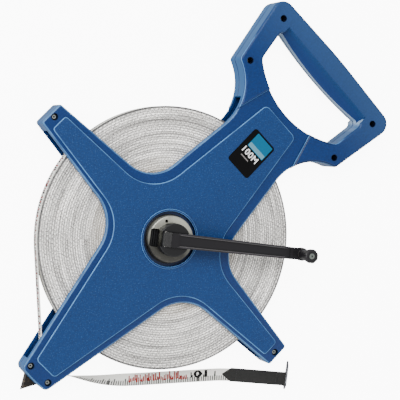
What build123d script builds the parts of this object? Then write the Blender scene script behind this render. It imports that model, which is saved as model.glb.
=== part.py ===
from build123d import *
import math
import os

# An open-frame surveyor's tape reel, lying on its back: two moulded shells in the shape of a cross
# with a handle hold a drum of flat tape between them, and a fold-over crank turns the drum.
# Millimetres. +Z is the reel's axis, and the origin is on it, at the plane that the reel rests on.

# ---- driving dimensions -------------------------------------------------------------------------
MID = 15.5  # height of the tape's middle plane
BORDER, RAISED, GRIP = 13.0, 14.5, 15.5  # faces of the rim, panel and handle, from that plane
RIM = 8.5  # the rims stop this far from the middle plane, so the drum shows between them
PARTING = 14.0  # height where the two shells meet
SEAM = 0.6  # chamfer round each shell there, which shows as a groove
SCOOP_FROM, SCOOP = 242.5, 12.0  # the finger scoop starts this far along the handle; its depth
EDGE, GRIP_EDGE, PANEL_EDGE = 2.3, 2.5, 1.2  # rounding of the rim, handle and panel
WALL = 2.5
WINDOW_R, WINDOW_LEG = 164.0, 181.5  # the shells have no side walls nearer the axis than this

TAPE_WIDTH, TAPE_THICK = 13.0, 0.5
CORE_R, PACK_R = 52.0, 133.0
SLACK = 0.3  # gap between curved faces on different bodies
RUNNING = 0.05  # radial clearance of a shaft in its hole

AXLE_R, AXLE_TOP, BUSH_R, HUB_R, BUSH_FLANGE = 5.0, 30.8, 7.0, 11.3, 9.0
AXLE_BOSS_TOP = 7.0
JOURNAL_R, JOURNAL_TOP = 25.0, 27.0
DRUM_HALF, FLANGE_R, FLANGE = 8.0, 62.0, 1.3
WELL_R, BEAD_R, DISC_R, DISC_TOP = 28.0, 30.3, 23.7, 35.5

CRANK_ANGLE, CRANK_R = -6.5, 140.0
BOSS_R, BOSS_TOP = 16.6, 46.5
HINGE_X, HINGE_Z, HINGE_PIN_R = -8.0, 42.0, 1.6  # along the crank from the axis, and height
ARM_THICK, ARM_ROOT, ARM_END, ARM_STEP = 8.5, 14.6, 12.2, 128.0
SLOT = 15.2  # width of the slot that the arm lies in
KNOB_BASE, KNOB_TOP, KNOB_R, SPINDLE_R = 48.5, 70.5, 7.3, 2.4

# (along the handle, across it) of each screw
ARM_SCREWS = [(0, 168.7), (0, -168.7), (-185, 12.2), (-185, -12.2)]
HANDLE_SCREWS = [(243.7, 74.7), (243.7, -74.7), (187, 69.1), (187, -69.1)]
SCREW_R, HEAD_R, HEAD = 1.5, 2.8, 2.0
ARM_SEAT, HANDLE_SEAT, SCREW_END = 23.9, 19.0, 4.5

SPIKE_LOW, SPIKE_THICK, SPIKE_HALF, SPIKE_TIP = 13.0, 5.0, 8.6, -207.6

ROLLER_R, ROLLER_PIN_R, ROLLER_HALF = 5.0, 2.0, 8.0
ROLLER_AT = (-119.4, -127.5)
MOUTH = (-104.0, -134.3)  # where the tape leaves the frame, on edge

TAB_AT, TAB_ANGLE, TAB_LENGTH, TAB_WIDTH, TAB_THICK = (71.4, -144.5), -6.9, 73.0, 14.6, 2.1
TAPE_REST = 1.07  # height of the tape's middle inside the tab
EYE_R, WIRE_R, RING_LEAN, RING_SHIFT = 2.2, 0.9, 111.0, 4.7

# Corners as (along the handle, across it, radius), on one side of the handle's axis; the ends lie
# on that axis, and the other side mirrors this one.
OUTLINE = [
    (-192.5, 16.9, 6), (-26.1, 52.2, 42), (-13, 174, 3), (13, 174, 3), (26.1, 52.6, 37),
    (165, 36.5, 53), (180.9, 78.1, 5), (260, 93.5, 13),
]
OUTLINE_ENDS = [(-194, 0, 100), (263, 0, 600)]
PANEL = [
    (-177.5, 13, 4.5), (-22.5, 45.7, 44), (-10, 162, 3.5), (8.5, 162, 3.5), (16.8, 43.4, 44),
    (169.7, 23.5, 6),
]
HORNS = [(132, 46.3), (190, 30.2), (190, -30.2), (132, -46.3), (132, -120), (280, -120),
         (280, 120), (132, 120)]  # the handle's face is raised inside this line

# The free tape's route, from the mouth to its end inside the tab, chosen point by point.
ROUTE = [
    (-103.5, -134.35, 15.5), (-88, -137.4, 15.0), (-68, -141.2, 12.8), (-50, -143.4, 9.6),
    (-31, -144.6, 6.0), (-12, -145.1, 3.2), (9, -145.2, 1.5), (32, -145.1, 1.07),
    (52, -144.9, 1.07), (72, -144.8, 1.07), (104, -148.3, 1.07), (137.9, -152.6, 1.07),
]
FLAT_FROM = 0.28  # share of the route where the tape has turned from on edge to flat
SECTIONS = 24


# ---- planes and shared outlines -----------------------------------------------------------------
def along(angle, z):
    """The plane at height z whose X points at this angle round the reel's axis."""
    a = math.radians(angle)
    return Plane(origin=(0, 0, z), x_dir=(math.cos(a), math.sin(a), 0), z_dir=(0, 0, 1))


def frame_plane(z):
    return along(45, z)


def crank_plane(z):
    return along(CRANK_ANGLE, z)


def mirrored(side, ends=()):
    """A face with rounded corners from one side's corners and their mirror images."""
    ends = list(ends)
    corners = ends[:1] + side + ends[1:] + [(x, -y, r) for x, y, r in reversed(side)]
    points, radii = [(x, y) for x, y, _ in corners], [r for *_, r in corners]
    with BuildSketch(Plane.XY) as face:
        with BuildLine():
            FilletPolyline(*points, radius=radii, close=True)
        make_face()
    return face.sketch


def hand_opening(grow=0.0):
    """The hand opening: a round lower edge, straight sides and a bowed grip."""
    with BuildSketch(Plane.XY) as opening:
        with BuildLine():
            ThreePointArc((199, 61), (178.5, 0), (199, -61))
            Line((199, -61), (236, -67))
            ThreePointArc((236, -67), (230.5, 0), (236, 67))
            Line((236, 67), (199, 61))
        make_face()
        fillet(opening.vertices().group_by(Axis.X)[0], 8)
        fillet(opening.vertices().group_by(Axis.X)[-1], 5)
        if grow:
            offset(amount=grow)
    return opening.sketch


def frame_face(inset=0.0):
    """The frame's outline without the hand opening, every edge moved inward by the inset."""
    with BuildSketch(Plane.XY) as face:
        add(mirrored(OUTLINE, OUTLINE_ENDS))
        if inset:
            offset(amount=-inset)
        add(OPENINGS[inset], mode=Mode.SUBTRACT)
    return face.sketch


def slab(face, one, other):
    """A solid between two heights from a flat sketch whose X runs along the handle."""
    low, high = sorted((one, other))
    return extrude(frame_plane(low) * face, amount=high - low, mode=Mode.PRIVATE)


def ring_face(outer, inner):
    with BuildSketch(Plane.XY) as face:
        Circle(outer)
        Circle(inner, mode=Mode.SUBTRACT)
    return face.sketch


OPENINGS = {inset: hand_opening(inset) for inset in (0.0, WALL)}
OUTER, INNER = frame_face(), frame_face(WALL)
with BuildSketch(Plane.XY) as panel:
    add(mirrored(PANEL))
with BuildSketch(Plane.XY) as panel_inner:
    add(mirrored(PANEL))
    offset(amount=-WALL)
with BuildSketch(Plane.XY) as horns:
    with BuildLine():
        Polyline(*HORNS, close=True)
    make_face()
    add(OUTER, mode=Mode.INTERSECT)
with BuildSketch(Plane.XY) as cross_pocket:
    with Locations((-20, 0)):
        Rectangle(370, 400)
    add(INNER, mode=Mode.INTERSECT)
with BuildSketch(Plane.XY) as grip_pocket:
    with Locations((228, 0)):
        Rectangle(76, 200)
    add(INNER, mode=Mode.INTERSECT)
    add(hand_opening(14), mode=Mode.SUBTRACT)
with BuildSketch(Plane.XY) as hollow:
    add(INNER)
    with Locations((236, 0)):
        Rectangle(20, 134, mode=Mode.SUBTRACT)  # solid below the finger scoop
with BuildSketch(Plane.XY) as window:
    Circle(WINDOW_R)
    with Locations((-WINDOW_LEG / 2, 0)):
        Rectangle(WINDOW_LEG, 120)


def shell_half(side, panel_height):
    """One moulded half before its holes: side is 1 for the front shell and -1 for the rear."""

    def z(height):
        return MID + side * height

    layers = [(OUTER, BORDER, EDGE), (horns.sketch, GRIP, GRIP_EDGE),
              (panel.sketch, panel_height, PANEL_EDGE)]
    pockets = [(hollow.sketch, RIM), (cross_pocket.sketch, BORDER - WALL),
               (panel_inner.sketch, panel_height - WALL), (grip_pocket.sketch, GRIP - WALL),
               (window.sketch, RIM)]
    with BuildPart() as half:
        for face, height, rounding in layers:
            layer = slab(face, PARTING, z(height))
            outside = layer.faces().sort_by(Axis.Z)[-1 if side > 0 else 0]
            layer = layer.fillet(rounding, outside.edges())
            seam = layer.faces().sort_by(Axis.Z)[0 if side > 0 else -1]
            add(layer.chamfer(SEAM, None, seam.edges()))
        # finger scoop along the inner edge of the grip
        with BuildSketch(Plane(origin=(0, 0, 0), x_dir=(1, 1, 0), z_dir=(1, -1, 0))):
            with BuildLine():
                ThreePointArc((SCOOP_FROM, z(GRIP)), (236.5, z(GRIP - 8)), (226, z(GRIP - SCOOP)))
                Polyline((226, z(GRIP - SCOOP)), (226, z(GRIP + 1)), (SCOOP_FROM, z(GRIP + 1)),
                         (SCOOP_FROM, z(GRIP)))
            make_face()
        extrude(amount=64, both=True, mode=Mode.SUBTRACT)
        for face, height in pockets:
            add(slab(face, PARTING, z(height)), mode=Mode.SUBTRACT)
        # screw bosses, then the bosses for the guide roller's pin
        for places, radius, height in ((ARM_SCREWS, 4.6, BORDER - 1), (HANDLE_SCREWS, 5.6, GRIP - 1)):
            with BuildSketch(Plane.XY) as bosses:
                with Locations(*places):
                    Circle(radius)
            add(slab(bosses.sketch, PARTING, z(height)))
        with Locations((*ROLLER_AT, z((RIM + BORDER - 1) / 2))):
            Cylinder(4, BORDER - 1 - RIM)
        # slot for the ground spike
        with BuildSketch(frame_plane(SPIKE_LOW)):
            with Locations((-190, 0)):
                Rectangle(16, 2 * SPIKE_HALF)
        extrude(amount=SPIKE_THICK, mode=Mode.SUBTRACT)
    return half.part


# ---- frame --------------------------------------------------------------------------------------
with BuildPart() as front_shell:
    add(shell_half(1, RAISED))
    # bearing ring and the well that the crank's disc stands in
    add(slab(ring_face(WELL_R + 3, JOURNAL_R), MID + RIM, MID + RAISED))
    add(slab(ring_face(BEAD_R, WELL_R), MID + RAISED, MID + RAISED + 1.3))
    fillet(front_shell.edges().filter_by_position(
        Axis.Z, MID + RAISED + 1.29, MID + RAISED + 1.31), 0.6)
    with BuildSketch(Plane.XY.offset(0)):
        Circle(JOURNAL_R + RUNNING)
    extrude(amount=60, mode=Mode.SUBTRACT)
    with BuildSketch(Plane.XY.offset(JOURNAL_TOP)):
        Circle(WELL_R)
    extrude(amount=20, mode=Mode.SUBTRACT)
    # recess for the label
    with BuildSketch(frame_plane(MID + RAISED)):
        with Locations((122.8, -0.5)):
            RectangleRounded(43.8, 30.8, 3.1)
    extrude(amount=-0.5, mode=Mode.SUBTRACT)
    # counterbores and clearance holes
    for places, seat, reach in ((ARM_SCREWS, ARM_SEAT, 3.4), (HANDLE_SCREWS, HANDLE_SEAT, 3.3)):
        with BuildSketch(frame_plane(PARTING)):
            with Locations(*places):
                Circle(SCREW_R + 0.2)
        extrude(amount=20, mode=Mode.SUBTRACT)
        with BuildSketch(frame_plane(seat)):
            with Locations(*places):
                Circle(reach)
        extrude(amount=20, mode=Mode.SUBTRACT)
    with BuildSketch(Plane.XY.offset(MID + RIM)):
        with Locations(ROLLER_AT):
            Circle(ROLLER_PIN_R)
    extrude(amount=3, mode=Mode.SUBTRACT)
front_shell.part.label = "front_shell"

with BuildPart() as rear_shell:
    add(shell_half(-1, GRIP))
    with BuildSketch(Plane.XY):
        Circle(11)
    extrude(amount=AXLE_BOSS_TOP)
    with BuildSketch(Plane.XY.offset(WALL)):
        Circle(AXLE_R)
    extrude(amount=AXLE_BOSS_TOP, mode=Mode.SUBTRACT)
    with BuildSketch(frame_plane(SCREW_END)):
        with Locations(*(ARM_SCREWS + HANDLE_SCREWS)):
            Circle(SCREW_R)
    extrude(amount=PARTING, mode=Mode.SUBTRACT)
    with BuildSketch(Plane.XY.offset(MID - RIM)):
        with Locations(ROLLER_AT):
            Circle(ROLLER_PIN_R)
    extrude(amount=-3, mode=Mode.SUBTRACT)
rear_shell.part.label = "rear_shell"


def pan_screw(seat, end):
    """One pan-head screw with a hexagon socket, its shank down to the height of its end."""
    with BuildPart() as screw:
        with BuildSketch(Plane.XY.offset(end)):
            Circle(SCREW_R)
        extrude(amount=seat - end)
        with BuildSketch(Plane.XY.offset(seat)):
            Circle(HEAD_R)
        extrude(amount=HEAD)
        fillet(screw.edges().group_by(Axis.Z)[-1], 0.6)
        with BuildSketch(Plane.XY.offset(seat + HEAD)):
            RegularPolygon(1.25, 6)
        extrude(amount=-1.2, mode=Mode.SUBTRACT)
    return screw.part


with BuildPart(frame_plane(0)) as arm_screws:
    with Locations(*ARM_SCREWS):
        add(pan_screw(ARM_SEAT, SCREW_END))
arm_screws.part.label = "arm_screws"

with BuildPart(frame_plane(0)) as handle_screws:
    with Locations(*HANDLE_SCREWS):
        add(pan_screw(HANDLE_SEAT, SCREW_END))
handle_screws.part.label = "handle_screws"

with BuildPart() as label_plate:
    with BuildSketch(frame_plane(MID + RAISED - 0.5)):
        with Locations((122.8, -0.5)):
            RectangleRounded(43.4, 30.4, 3)
    extrude(amount=0.7)
label_plate.part.label = "label_plate"

with BuildPart() as ground_spike:
    with BuildSketch(frame_plane(SPIKE_LOW)):
        with BuildLine():
            Polyline((-182.2, 6), (-193.2, SPIKE_HALF), (SPIKE_TIP, 0), (-193.2, -SPIKE_HALF),
                     (-182.2, -6), close=True)
        make_face()
    extrude(amount=SPIKE_THICK)
    edges = ground_spike.faces().filter_by(Plane.XY).edges().filter_by(
        lambda edge: edge.center().length > 194)
    chamfer(edges, 1.6)
ground_spike.part.label = "ground_spike"

with BuildPart() as axle:
    with BuildSketch(Plane.XY.offset(WALL)):
        Circle(AXLE_R)
    extrude(amount=AXLE_TOP - WALL)
    chamfer(axle.edges().group_by(Axis.Z)[-1], 0.6)
    with BuildSketch(Plane.XY.offset(28.1)):
        Circle(AXLE_R + 1)
        Circle(4.2, mode=Mode.SUBTRACT)
    extrude(amount=1.0, mode=Mode.SUBTRACT)
axle.part.label = "axle"

with BuildPart() as thrust_washer:
    add(slab(ring_face(10, AXLE_R + RUNNING), AXLE_BOSS_TOP, AXLE_BOSS_TOP + 1))
thrust_washer.part.label = "thrust_washer"

with BuildPart() as retaining_washer:
    add(slab(ring_face(9.5, AXLE_R + RUNNING), JOURNAL_TOP + 0.1, JOURNAL_TOP + 1.1))
retaining_washer.part.label = "retaining_washer"

with BuildPart() as circlip:
    with BuildSketch(Plane.XY.offset(28.1)):
        Circle(8)
        Circle(4.2, mode=Mode.SUBTRACT)
        with Locations((6, 0)):
            Rectangle(8, 5, mode=Mode.SUBTRACT)
    extrude(amount=1.0)
circlip.part.label = "circlip"

# ---- drum ---------------------------------------------------------------------------------------
BUSH_LOW, BUSH_HIGH = AXLE_BOSS_TOP + 1.1, JOURNAL_TOP
FRONT_FACE, REAR_FACE = MID + DRUM_HALF, MID - DRUM_HALF
DRUM_SCREW_CIRCLE, BOSS_SCREW_CIRCLE, BOSS_SCREW_ANGLES = 38.0, 14.0, (0, 115, 245)


def revolved(points):
    """A solid turned round the reel's axis from (radius, height) corners."""
    with BuildPart() as turned:
        with BuildSketch(Plane.XZ):
            with BuildLine():
                Polyline(*points, close=True)
            make_face()
        revolve(axis=Axis.Z)
    return turned.part


def on_circle(radius, angles):
    """Places round a circle, in the crank's plane."""
    turns = [math.radians(a) for a in angles]
    return [(radius * math.cos(a), radius * math.sin(a)) for a in turns]


with BuildPart(crank_plane(0)) as drum_front_half:
    add(revolved([
        (BUSH_R, MID), (HUB_R, MID), (HUB_R, FRONT_FACE - 2.5), (CORE_R - 3, FRONT_FACE - 2.5),
        (CORE_R - 3, MID), (CORE_R, MID), (CORE_R, FRONT_FACE - FLANGE),
        (FLANGE_R, FRONT_FACE - FLANGE), (FLANGE_R, FRONT_FACE), (JOURNAL_R, FRONT_FACE),
        (JOURNAL_R, JOURNAL_TOP), (BUSH_FLANGE, JOURNAL_TOP), (BUSH_FLANGE, JOURNAL_TOP - 1),
        (BUSH_R, JOURNAL_TOP - 1),
    ]))
    with PolarLocations(DRUM_SCREW_CIRCLE, 4, 45):
        with Locations((0, 0, MID)):
            Cylinder(4, DRUM_HALF - 1, align=(Align.CENTER, Align.CENTER, Align.MIN))
            Cylinder(1.4, 5.5, align=(Align.CENTER, Align.CENTER, Align.MIN), mode=Mode.SUBTRACT)
    with Locations(*[(x, y, 20) for x, y in on_circle(BOSS_SCREW_CIRCLE, BOSS_SCREW_ANGLES)]):
        Cylinder(SCREW_R + 0.1, 20, align=(Align.CENTER, Align.CENTER, Align.MIN),
                 mode=Mode.SUBTRACT)
drum_front_half.part.label = "drum_front_half"

with BuildPart(crank_plane(0)) as drum_rear_half:
    add(revolved([
        (BUSH_R, MID), (HUB_R, MID), (HUB_R, REAR_FACE + 2.5), (CORE_R - 3, REAR_FACE + 2.5),
        (CORE_R - 3, MID), (CORE_R, MID), (CORE_R, REAR_FACE + FLANGE),
        (FLANGE_R, REAR_FACE + FLANGE), (FLANGE_R, REAR_FACE), (HUB_R, REAR_FACE),
        (HUB_R, BUSH_LOW + 1), (BUSH_R, BUSH_LOW + 1),
    ]))
    with PolarLocations(DRUM_SCREW_CIRCLE, 4, 45):
        with Locations((0, 0, MID)):
            Cylinder(4, DRUM_HALF - 1, align=(Align.CENTER, Align.CENTER, Align.MAX))
            Cylinder(1.6, 30, mode=Mode.SUBTRACT)
        with Locations((0, 0, REAR_FACE)):
            Cylinder(3.0, 2.2, align=(Align.CENTER, Align.CENTER, Align.MIN), mode=Mode.SUBTRACT)
drum_rear_half.part.label = "drum_rear_half"

with BuildPart(crank_plane(0)) as drum_screws:
    with PolarLocations(DRUM_SCREW_CIRCLE, 4, 45):
        with Locations((0, 0, REAR_FACE + 0.2)):
            Cylinder(2.7, 2.0, align=(Align.CENTER, Align.CENTER, Align.MIN))
            Cylinder(1.4, 12, align=(Align.CENTER, Align.CENTER, Align.MIN))
drum_screws.part.label = "drum_screws"

with BuildPart() as rear_bush:
    add(revolved([
        (AXLE_R + RUNNING, BUSH_LOW), (BUSH_FLANGE, BUSH_LOW), (BUSH_FLANGE, BUSH_LOW + 1),
        (BUSH_R, BUSH_LOW + 1), (BUSH_R, MID - 1), (AXLE_R + RUNNING, MID - 1),
    ]))
rear_bush.part.label = "rear_bush"

with BuildPart() as front_bush:
    add(revolved([
        (AXLE_R + RUNNING, BUSH_HIGH), (BUSH_FLANGE, BUSH_HIGH), (BUSH_FLANGE, BUSH_HIGH - 1),
        (BUSH_R, BUSH_HIGH - 1), (BUSH_R, MID + 4), (AXLE_R + RUNNING, MID + 4),
    ]))
front_bush.part.label = "front_bush"

with BuildPart() as wound_tape:
    add(slab(ring_face(PACK_R, CORE_R), MID - TAPE_WIDTH / 2, MID + TAPE_WIDTH / 2))
wound_tape.part.label = "wound_tape"

# ---- crank --------------------------------------------------------------------------------------
DIMPLE_AT, DIMPLE_R = (-7.2, 17.6), 1.5
SWING_FLOOR = 32.6  # the arm's corner passes just above this as it folds over
BED = HINGE_Z - 0.1  # face that the unfolded arm lies on

with BuildPart(crank_plane(0)) as crank_disc:
    with BuildSketch(crank_plane(JOURNAL_TOP)):
        Circle(DISC_R)
    extrude(amount=DISC_TOP - JOURNAL_TOP)
    fillet(crank_disc.edges().group_by(Axis.Z)[-1], 1.5)
    with BuildSketch(crank_plane(JOURNAL_TOP)):
        Circle(BUSH_FLANGE + 2)
    extrude(amount=4.2, mode=Mode.SUBTRACT)
    with BuildSketch(crank_plane(29.0)):
        with Locations((-16.4, 0)):
            Rectangle(9.8, 18)
    extrude(amount=10, mode=Mode.SUBTRACT)
    with BuildSketch(crank_plane(SWING_FLOOR)):
        with Locations((-14, 0)):
            Rectangle(22, 16.4)
    extrude(amount=10, mode=Mode.SUBTRACT)
    with Locations((*DIMPLE_AT, DISC_TOP)):
        Cylinder(DIMPLE_R, 10, mode=Mode.SUBTRACT)
    with Locations(*[(x, y, 30) for x, y in on_circle(BOSS_SCREW_CIRCLE, BOSS_SCREW_ANGLES)]):
        Cylinder(SCREW_R, 20, mode=Mode.SUBTRACT)
crank_disc.part.label = "crank_disc"

with BuildPart(crank_plane(0)) as notch_insert:
    with Locations((-16.4, 0, 29)):
        Box(9.4, 17.6, 1.2, align=(Align.CENTER, Align.CENTER, Align.MIN))
    with Locations(*[(x, 0, 30.2) for x in (-19.6, -17.2, -14.8)]):
        Box(1.1, 17.6, 2.0, align=(Align.CENTER, Align.CENTER, Align.MIN))
notch_insert.part.label = "notch_insert"

with BuildPart(crank_plane(0)) as crank_boss:
    with BuildSketch(crank_plane(DISC_TOP)):
        Circle(BOSS_R)
    extrude(amount=BOSS_TOP - DISC_TOP)
    fillet(crank_boss.edges().group_by(Axis.Z)[-1], 1.2)
    with BuildSketch(crank_plane(BED)):
        Rectangle(60, SLOT)
    extrude(amount=10, mode=Mode.SUBTRACT)
    with BuildSketch(crank_plane(DISC_TOP)):
        with Locations((-13.4, 0)):
            Rectangle(20, SLOT)
    extrude(amount=20, mode=Mode.SUBTRACT)
    with BuildSketch(Plane.XZ.rotated((0, 0, CRANK_ANGLE))):
        with Locations((HINGE_X, HINGE_Z)):
            Circle(HINGE_PIN_R)
    extrude(amount=30, both=True, mode=Mode.SUBTRACT)
    with Locations(*[(x, y, 30) for x, y in on_circle(BOSS_SCREW_CIRCLE, BOSS_SCREW_ANGLES)]):
        Cylinder(SCREW_R, 19, mode=Mode.SUBTRACT)
crank_boss.part.label = "crank_boss"

with BuildPart(crank_plane(0)) as boss_screws:
    with Locations(*on_circle(BOSS_SCREW_CIRCLE, BOSS_SCREW_ANGLES)):
        with Locations((0, 0, FRONT_FACE - 4.5)):
            Cylinder(HEAD_R - 0.3, 2.0, align=(Align.CENTER, Align.CENTER, Align.MIN))
            Cylinder(SCREW_R, 39.4 - FRONT_FACE + 4.5, align=(Align.CENTER, Align.CENTER, Align.MIN))
boss_screws.part.label = "boss_screws"

with BuildPart() as hinge_pin:
    with BuildSketch(Plane.XZ.rotated((0, 0, CRANK_ANGLE))):
        with Locations((HINGE_X, HINGE_Z)):
            Circle(HINGE_PIN_R)
    extrude(amount=13.2, both=True)
hinge_pin.part.label = "hinge_pin"

with BuildPart(crank_plane(0)) as crank_arm:
    with BuildSketch(crank_plane(HINGE_Z)):
        with BuildLine():
            Polyline((-5, ARM_ROOT / 2), (CRANK_R - 3, ARM_END / 2), (CRANK_R - 3, -ARM_END / 2),
                     (-5, -ARM_ROOT / 2), close=True)
        make_face()
        with Locations((CRANK_R, 0)):
            Circle(6.8)
    extrude(amount=ARM_THICK)
    fillet(crank_arm.edges().group_by(Axis.Z)[-1], 0.8)
    # sloping root and the knuckle round the hinge pin
    with BuildSketch(Plane.XZ.rotated((0, 0, CRANK_ANGLE))):
        with BuildLine():
            Polyline((-11, HINGE_Z + 3), (-5, HINGE_Z + ARM_THICK), (2, HINGE_Z + ARM_THICK),
                     (2, HINGE_Z), (HINGE_X, HINGE_Z), close=True)
        make_face()
        with Locations((HINGE_X, HINGE_Z)):
            Circle(4.2)
    extrude(amount=ARM_ROOT / 2, both=True)
    # lower end that the knob stands on, channel along the top, holes
    with BuildSketch(crank_plane(KNOB_BASE - 1)):
        with Locations((ARM_STEP + 15, 0)):
            Rectangle(30, 30)
    extrude(amount=10, mode=Mode.SUBTRACT)
    with BuildSketch(crank_plane(HINGE_Z + ARM_THICK - 1.0)):
        with BuildLine():
            Polyline((3, 5.4), (ARM_STEP - 3, 4.4), (ARM_STEP - 3, -4.4), (3, -5.4), close=True)
        make_face()
    extrude(amount=5, mode=Mode.SUBTRACT)
    with BuildSketch(Plane.XZ.rotated((0, 0, CRANK_ANGLE))):
        with Locations((HINGE_X, HINGE_Z)):
            Circle(HINGE_PIN_R + RUNNING)
    extrude(amount=30, both=True, mode=Mode.SUBTRACT)
    with Locations((CRANK_R, 0, HINGE_Z)):
        Cylinder(4.4, 1.6, align=(Align.CENTER, Align.CENTER, Align.MIN), mode=Mode.SUBTRACT)
        Cylinder(SPINDLE_R, 30, mode=Mode.SUBTRACT)
crank_arm.part.label = "crank_arm"

with BuildPart(crank_plane(0)) as knob_spindle:
    with Locations((CRANK_R, 0, HINGE_Z + 0.1)):
        Cylinder(4.4, 1.5, align=(Align.CENTER, Align.CENTER, Align.MIN))
        Cylinder(SPINDLE_R, KNOB_TOP - 1.6 - HINGE_Z, align=(Align.CENTER, Align.CENTER, Align.MIN))
    with Locations((CRANK_R, 0, KNOB_TOP - 1.55)):
        Cylinder(2.9, 1.2, align=(Align.CENTER, Align.CENTER, Align.MIN))
        Cylinder(1.1, 2.4, mode=Mode.SUBTRACT)
knob_spindle.part.label = "knob_spindle"

with BuildPart(crank_plane(0)) as knob_washer:
    with Locations((CRANK_R, 0, KNOB_BASE - 0.95)):
        Cylinder(5.0, 0.8, align=(Align.CENTER, Align.CENTER, Align.MIN))
        Cylinder(SPINDLE_R, 5, mode=Mode.SUBTRACT)
knob_washer.part.label = "knob_washer"

with BuildPart(crank_plane(0)) as crank_knob:
    with Locations((CRANK_R, 0, 0)):
        add(revolved([
            (SPINDLE_R + RUNNING, KNOB_BASE), (4.9, KNOB_BASE), (5.4, KNOB_BASE + 3),
            (6.0, KNOB_BASE + 11), (KNOB_R, KNOB_TOP - 4), (KNOB_R, KNOB_TOP - 1.4),
            (KNOB_R - 1.2, KNOB_TOP), (3.4, KNOB_TOP), (3.4, KNOB_TOP - 1.6),
            (SPINDLE_R + RUNNING, KNOB_TOP - 1.6),
        ]))
        with PolarLocations(KNOB_R + 1.1, 8):
            Cylinder(1.7, 200, mode=Mode.SUBTRACT)
crank_knob.part.label = "crank_knob"

# ---- tape guide ---------------------------------------------------------------------------------
with BuildPart() as guide_pin:
    with Locations((*ROLLER_AT, MID)):
        Cylinder(ROLLER_PIN_R, 2 * (RIM + 3))
guide_pin.part.label = "guide_pin"

with BuildPart() as guide_roller:
    with Locations((*ROLLER_AT, MID)):
        Cylinder(ROLLER_R, 2 * ROLLER_HALF)
        chamfer(guide_roller.edges(), 0.5)
        Cylinder(ROLLER_PIN_R + RUNNING, 2 * ROLLER_HALF, mode=Mode.SUBTRACT)
guide_roller.part.label = "guide_roller"

pack_line = PACK_R + SLACK + TAPE_THICK / 2
roller_line = ROLLER_R + SLACK + TAPE_THICK / 2
to_roller = Vector(*ROLLER_AT)
to_mouth = Vector(*MOUTH) - to_roller
enter = 360 + math.degrees(math.atan2(to_roller.Y, to_roller.X)) - math.degrees(
    math.acos((pack_line - roller_line) / to_roller.length))
leave = 360 + math.degrees(math.atan2(to_mouth.Y, to_mouth.X)) - math.degrees(
    math.acos(roller_line / to_mouth.length))
with BuildPart() as tape_run:
    with BuildSketch(Plane.XY.offset(MID)):
        with BuildLine():
            over_pack = CenterArc((0, 0), pack_line, 135, enter - 135)
            over_roller = CenterArc(ROLLER_AT, roller_line, enter, leave - enter)
            Line(over_pack @ 1, over_roller @ 0)
            Line(over_roller @ 1, MOUTH)
        trace(line_width=TAPE_THICK)
    extrude(amount=TAPE_WIDTH / 2, both=True)
tape_run.part.label = "tape_run"

# ---- free tape, end tab and ring ----------------------------------------------------------------
def route_radii(points):
    """The radius of each corner's arc: as large as its two runs allow."""
    radii = []
    for a, b, c in zip(points, points[1:], points[2:]):
        into, out = Vector(*b) - Vector(*a), Vector(*c) - Vector(*b)
        half_turn = math.radians(into.get_angle(out)) / 2
        radii.append(0.45 * min(into.length, out.length) / math.tan(half_turn))
    return radii


def tape_section(route, share):
    """The plane of the tape's cross-section there; its X runs across the tape."""
    heading = route % share
    side = Vector(0, 0, 1).cross(heading).normalized()
    top = heading.cross(side)
    turn = math.radians(90 * min(1, share / FLAT_FROM))
    return Plane(origin=route @ share, x_dir=top * math.cos(turn) + side * math.sin(turn),
                 z_dir=heading)


bends = route_radii(ROUTE)
print("radii of the free tape's bends, mm:", [round(r) for r in bends])
with BuildPart() as free_tape:
    with BuildLine(mode=Mode.PRIVATE) as route:
        FilletPolyline(*ROUTE, radius=bends)
    for i in range(SECTIONS + 1):
        with BuildSketch(tape_section(route.line, i / SECTIONS)):
            Rectangle(TAPE_WIDTH, TAPE_THICK)
    loft(ruled=True)
free_tape.part.label = "free_tape"

tab = Plane(origin=(*TAB_AT, 0), x_dir=(1, 0, 0), z_dir=(0, 0, 1)).rotated((0, 0, TAB_ANGLE))
eye = Plane(origin=tab.from_local_coords(Vector(TAB_LENGTH, 0, EYE_R)), x_dir=tab.x_dir, z_dir=-tab.y_dir)
with BuildPart() as end_tab:
    with BuildSketch(tab):
        with BuildLine():
            Polyline((0, 0), (10, TAB_WIDTH / 2), (TAB_LENGTH, TAB_WIDTH / 2),
                     (TAB_LENGTH, -TAB_WIDTH / 2), (10, -TAB_WIDTH / 2), close=True)
        make_face()
    extrude(amount=TAB_THICK)
    with BuildSketch(eye):
        Circle(EYE_R)
    extrude(amount=TAB_WIDTH / 2, both=True)
    with BuildSketch(eye):
        Circle(WIRE_R + 0.1)
    extrude(amount=TAB_WIDTH, both=True, mode=Mode.SUBTRACT)
    with BuildSketch(tab.offset(TAPE_REST - TAPE_THICK / 2 - 0.02)):
        with Locations((30, 0)):
            Rectangle(75, TAPE_WIDTH + 0.7)
    extrude(amount=TAPE_THICK + 0.04, mode=Mode.SUBTRACT)
end_tab.part.label = "end_tab"

lean = math.radians(RING_LEAN)
outward = tab.x_dir * math.cos(lean) + Vector(0, 0, 1) * math.sin(lean)
ring_plane = Plane(origin=eye.origin + tab.y_dir * RING_SHIFT, x_dir=tab.y_dir,
                   z_dir=tab.y_dir.cross(outward))
with BuildPart() as end_ring:
    with BuildLine(ring_plane) as loop:
        FilletPolyline((0, 0), (15.5, 0), (10, 13.5), (-10, 13.5), (-15.5, 0),
                       radius=[0, 2.5, 5, 5, 2.5], close=True)
    with BuildSketch(Plane(origin=loop.line @ 0, z_dir=loop.line % 0)):
        Circle(WIRE_R)
    sweep(path=loop.line)
end_ring.part.label = "end_ring"

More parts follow.
